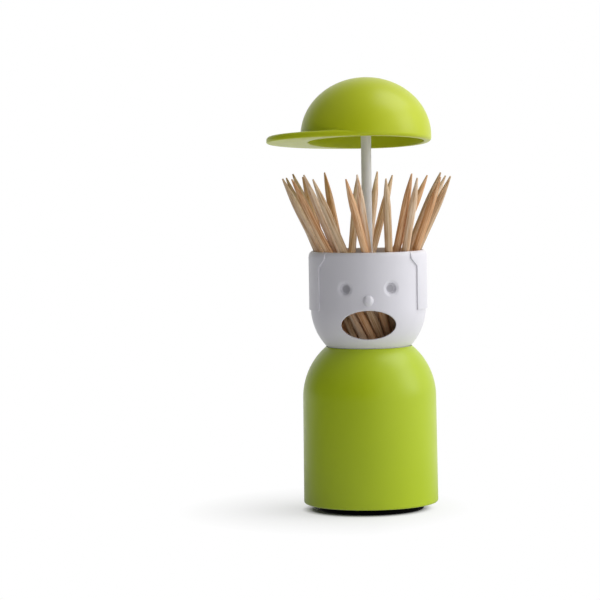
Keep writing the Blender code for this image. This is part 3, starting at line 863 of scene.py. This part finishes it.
def make_rod():
    shoulder_bottom = CARRIER_BOTTOM + SHOULDER_RISE
    shoulder_top = shoulder_bottom + SHOULDER_LENGTH
    neck = -math.acos(ROD_RADIUS / BALL_RADIUS)
    profile = arc(BALL_RADIUS, BALL_RADIUS, PIVOT.z, math.pi / 2, neck, INNER_BALL_STEPS)
    profile[0] = (0, PIVOT.z + BALL_RADIUS)
    profile += [
        (ROD_RADIUS, shoulder_top),
        (SHOULDER_RADIUS, shoulder_top),
        (SHOULDER_RADIUS, shoulder_bottom),
        (ROD_RADIUS, shoulder_bottom),
        (ROD_RADIUS, ROD_BOTTOM),
        (0, ROD_BOTTOM),
    ]
    rod = smooth(lathe("rod_white", profile, SMALL_SIDES))
    finish_piece(rod, "rod", "rod", ROD_WHITE)


def visor_outline(margin=0.0):
    """Half an ellipse on the left of the cap, less a margin."""
    outline = []
    steps = LARGE_SIDES // 2
    for step in range(steps + 1):
        angle = math.pi / 2 + math.pi * step / steps
        x = (VISOR_REACH - margin) * math.cos(angle) - VISOR_OFFSET
        outline.append((x, (VISOR_HALF_WIDTH - margin) * math.sin(angle)))
    return outline


def make_visor():
    """Flat visor with a full round along its top and a small one below."""
    visor = prism("visor", visor_outline(), VISOR_THICKNESS)
    round_rim(visor, VISOR_THICKNESS, VISOR_TOP_EDGE, EDGE_STEPS)
    round_rim(visor, 0.0, VISOR_LOW_EDGE, SMALL_EDGE_STEPS)
    return visor


def make_fillet():
    """Ring of fillet round the dome, kept only where the visor lies under it."""
    outer = CAP_RADIUS + FILLET
    root = CAP_RADIUS - FILLET
    low = VISOR_THICKNESS - FILLET
    high = VISOR_THICKNESS + FILLET
    hollow = edge_outward(CAP_RADIUS, FILLET, VISOR_THICKNESS, EDGE_STEPS)
    profile = [(root, high)] + hollow + [(outer, low), (root, low), (root, high)]
    fillet = lathe("fillet", profile, LARGE_SIDES)
    reach = prism("fillet_reach", visor_outline(VISOR_TOP_EDGE), VISOR_THICKNESS + OVERRUN)
    return combine(fillet, reach, "INTERSECT")


def make_cap():
    """Dome, visor and the fillet between them as one moulding, then hollowed."""
    dome = arc(CAP_RADIUS, CAP_DOME_HEIGHT, CAP_BAND, math.pi / 2, 0, DOME_STEPS)
    dome[0] = (0, CAP_BAND + CAP_DOME_HEIGHT)
    edge = edge_inward(CAP_RADIUS, CAP_EDGE, 0, EDGE_STEPS)
    cap = lathe("cap_shell_green", dome + edge + [(0, 0)], LARGE_SIDES)
    combine(cap, make_visor(), "UNION")
    combine(cap, make_fillet(), "UNION")
    radius = CAP_RADIUS - CAP_WALL
    outer = radius + CAP_INNER_EDGE
    hollow = arc(radius, CAP_DOME_HEIGHT - CAP_WALL, CAP_BAND, math.pi / 2, 0, BALL_STEPS)
    hollow[0] = (0, CAP_BAND + CAP_DOME_HEIGHT - CAP_WALL)
    hollow += edge_outward(radius, CAP_INNER_EDGE, 0, SMALL_EDGE_STEPS)
    hollow += [(outer, -OVERRUN), (0, -OVERRUN)]
    combine(cap, lathe("cavity", hollow, LARGE_SIDES), "DIFFERENCE")
    place(cap, (0, 0, -PIVOT_RISE))
    place(cap, PIVOT, (-CAP_TILT, 0, 0))
    smooth(cap)
    finish_piece(cap, "cap_shell", "cap", CAP_GREEN)


def stick_profile():
    """Both ends taper; the few rows between them keep the side's faces short."""
    taper = []
    for step in range(TAPER_STEPS + 1):
        angle = math.pi / 2 * step / TAPER_STEPS
        radius = PICK_TIP_RADIUS + (PICK_RADIUS - PICK_TIP_RADIUS) * math.sin(angle)
        taper.append((radius, PICK_TAPER * step / TAPER_STEPS))
    top = [(0, PICK_LENGTH)] + [(radius, PICK_LENGTH - along) for radius, along in taper]
    rows = side(PICK_RADIUS, PICK_LENGTH - PICK_TAPER, PICK_RADIUS, PICK_TAPER)
    foot = [(radius, along) for radius, along in reversed(taper)] + [(0, 0)]
    return top + rows[PICK_ROW_STRIDE:-PICK_ROW_STRIDE:PICK_ROW_STRIDE] + foot


def mark_stick(piece, shift):
    """Keeps each point's place along and across the stick for its grain."""
    attribute = piece.data.attributes.new(PICK_PLACE, "FLOAT_VECTOR", "POINT")
    for index, vertex in enumerate(piece.data.vertices):
        attribute.data[index].vector = vertex.co + Vector((shift, shift / 2, shift))


def make_sticks():
    """One stick is modelled; each copy gets its own mesh, grain and lean."""
    first = smooth(lathe("stick", stick_profile(), PICK_SIDES))
    for number in range(1, PICK_COUNT + 1):
        node = f"toothpick_{number:02d}"
        joint = JOINTS[f"{node}_fold"]
        lean = COUPLINGS[f"{node}_fold"]["ratio"] * LIFT_TRAVEL
        axis = Vector(joint["axis"])
        heading = math.atan2(-axis.x, axis.y)
        stick = first.copy()
        stick.data = first.data.copy()
        stick.name = f"{node}_wood"
        bpy.context.collection.objects.link(stick)
        mark_stick(stick, number * PICK_LENGTH)
        place(stick, joint["pos_m"], (0, lean, heading))
        finish_piece(stick, node, f"{node}_body", WOODS[number % len(WOODS)])
    bpy.data.objects.remove(first)


def finish_inner_nodes():
    """Hidden pieces keep their CAD shapes and get their finishes."""
    finishes = {
        "base_plate": BLACK,
        "magazine_tube": NATURAL,
        "lock_ring": NATURAL,
        "carrier_cup": NATURAL,
        "friction_ring": RUBBER,
        "rod_clip": NATURAL,
        "cap_socket": WHITE,
    }
    for node, material in finishes.items():
        dress(frame["nodes"][node], material)


# Studio


def floor_material():
    """Pale matt floor.  Seen directly it is mostly white paper, which keeps the
    object's shadow near it and fades into the backdrop; mirrored in the object,
    the paper is bright behind it and on the right, and dim on the left."""
    graph = Graph(bpy.data.materials.new("floor_white"))
    place = graph.place()
    across = graph.along(place, "X")
    back = graph.along(place, "Y")
    seen, mirrored = graph.rays()
    tone = graph.mix(graph.noise(place, FLOOR_TONE_SIZE, detail=2.0), *FLOOR_TONES)
    inputs = {"Base Color": tone, "Roughness": FLOOR_ROUGHNESS}
    lit = graph.principled({**inputs, "Specular IOR Level": FLOOR_SPECULAR})
    mirror = graph.between(across, -FLOOR_SIDE_REACH, FLOOR_SIDE_REACH, FLOOR_LEFT, FLOOR_RIGHT)
    mirror = mirror + graph.between(back, 0.0, FLOOR_BACK_REACH, 0.0, FLOOR_BACK)
    white = graph.mix(1.0 - mirrored * (1.0 - mirror), BLACK_COLOUR, WHITE_COLOUR)
    glow = graph.node("ShaderNodeEmission", inputs={"Color": white, "Strength": 1.0})
    distance = graph.distance(place, (0, 0, 0))
    paper = graph.between(distance, FLOOR_NEAR, FLOOR_FAR, FLOOR_PAPER_SHARE, 1.0)
    # Painted light: whiter paper on the right of the axis, which lifts the object's shadow
    # there
    paper = paper + graph.between(across, 0.0, FLOOR_PAINTED_LIGHT_REACH, 0.0, FLOOR_PAINTED_LIGHT_SHARE)
    contact = graph.distance(place, CONTACT_CENTRE)
    paper = paper * graph.between(contact, CONTACT_INNER, CONTACT_OUTER)
    return graph.surface(graph.shader_mix(paper * seen + mirrored, lit, glow))


def make_floor():
    deselect()
    bpy.ops.mesh.primitive_plane_add(size=FLOOR_SIZE, location=(0, 0, 0))
    floor = bpy.context.object
    floor.name = "floor"
    floor.data.materials.append(floor_material())


def make_world():
    """White to the eye and, mirrored, behind the object; its light comes from the
    right and from above."""
    world = bpy.data.worlds.new("studio")
    bpy.context.scene.world = world
    graph = Graph(world)
    way = graph.place("Generated")
    strength = 0
    for axis, level in (("X", SKY_RIGHT), ("Z", SKY_ABOVE)):
        strength = strength + graph.math("MAXIMUM", graph.along(way, axis), 0.0) * level
    lit_inputs = {"Color": SKY_COLOUR, "Strength": strength}
    white_inputs = {"Color": WHITE_COLOUR, "Strength": 1.0}
    lit = graph.node("ShaderNodeBackground", inputs=lit_inputs)
    white = graph.node("ShaderNodeBackground", inputs=white_inputs)
    seen, mirrored = graph.rays()
    backdrop = graph.between(graph.along(way, "Y"), BACKDROP_EDGE, BACKDROP_FULL)
    shader = graph.shader_mix(seen + mirrored * backdrop, lit, white)
    graph.surface(shader, "ShaderNodeOutputWorld")


def make_lamp(name, location, size, power):
    lamp = bpy.data.lights.new(name, "AREA")
    lamp.shape = "RECTANGLE"
    lamp.size = size
    lamp.size_y = size
    lamp.energy = power
    holder = bpy.data.objects.new(name, lamp)
    bpy.context.scene.collection.objects.link(holder)
    holder.location = location
    way = Vector(LAMP_TARGET) - Vector(location)
    holder.rotation_euler = way.to_track_quat("-Z", "Y").to_euler()
    return holder


def make_lights():
    """Large lamps on the right and above, and a weak one in front that lifts the
    shadows and shows in no reflection."""
    make_lamp(*SIDE_LAMP)
    make_lamp(*TOP_LAMP)
    front = make_lamp(*FRONT_LAMP)
    front.visible_glossy = False


def make_camera():
    camera = bpy.data.cameras.new("camera")
    camera.lens = CAMERA_LENS
    camera.sensor_width = CAMERA_SENSOR
    camera.shift_x = CAMERA_SHIFT
    camera.clip_start = CAMERA_CLIP_START
    camera.clip_end = CAMERA_CLIP_END
    holder = bpy.data.objects.new("camera", camera)
    bpy.context.scene.collection.objects.link(holder)
    upright = Matrix.Rotation(math.pi / 2 + CAMERA_PITCH, 4, "X")
    turn = upright @ Matrix.Rotation(CAMERA_ROLL, 4, "Z")
    holder.matrix_world = Matrix.Translation(CAMERA_PLACE) @ turn
    bpy.context.scene.camera = holder


make_foot()
make_body()
make_head()
make_rod()
make_cap()
make_sticks()
finish_inner_nodes()
make_floor()
make_world()
make_lights()
make_camera()
bpy.context.scene.view_settings.view_transform = "Standard"
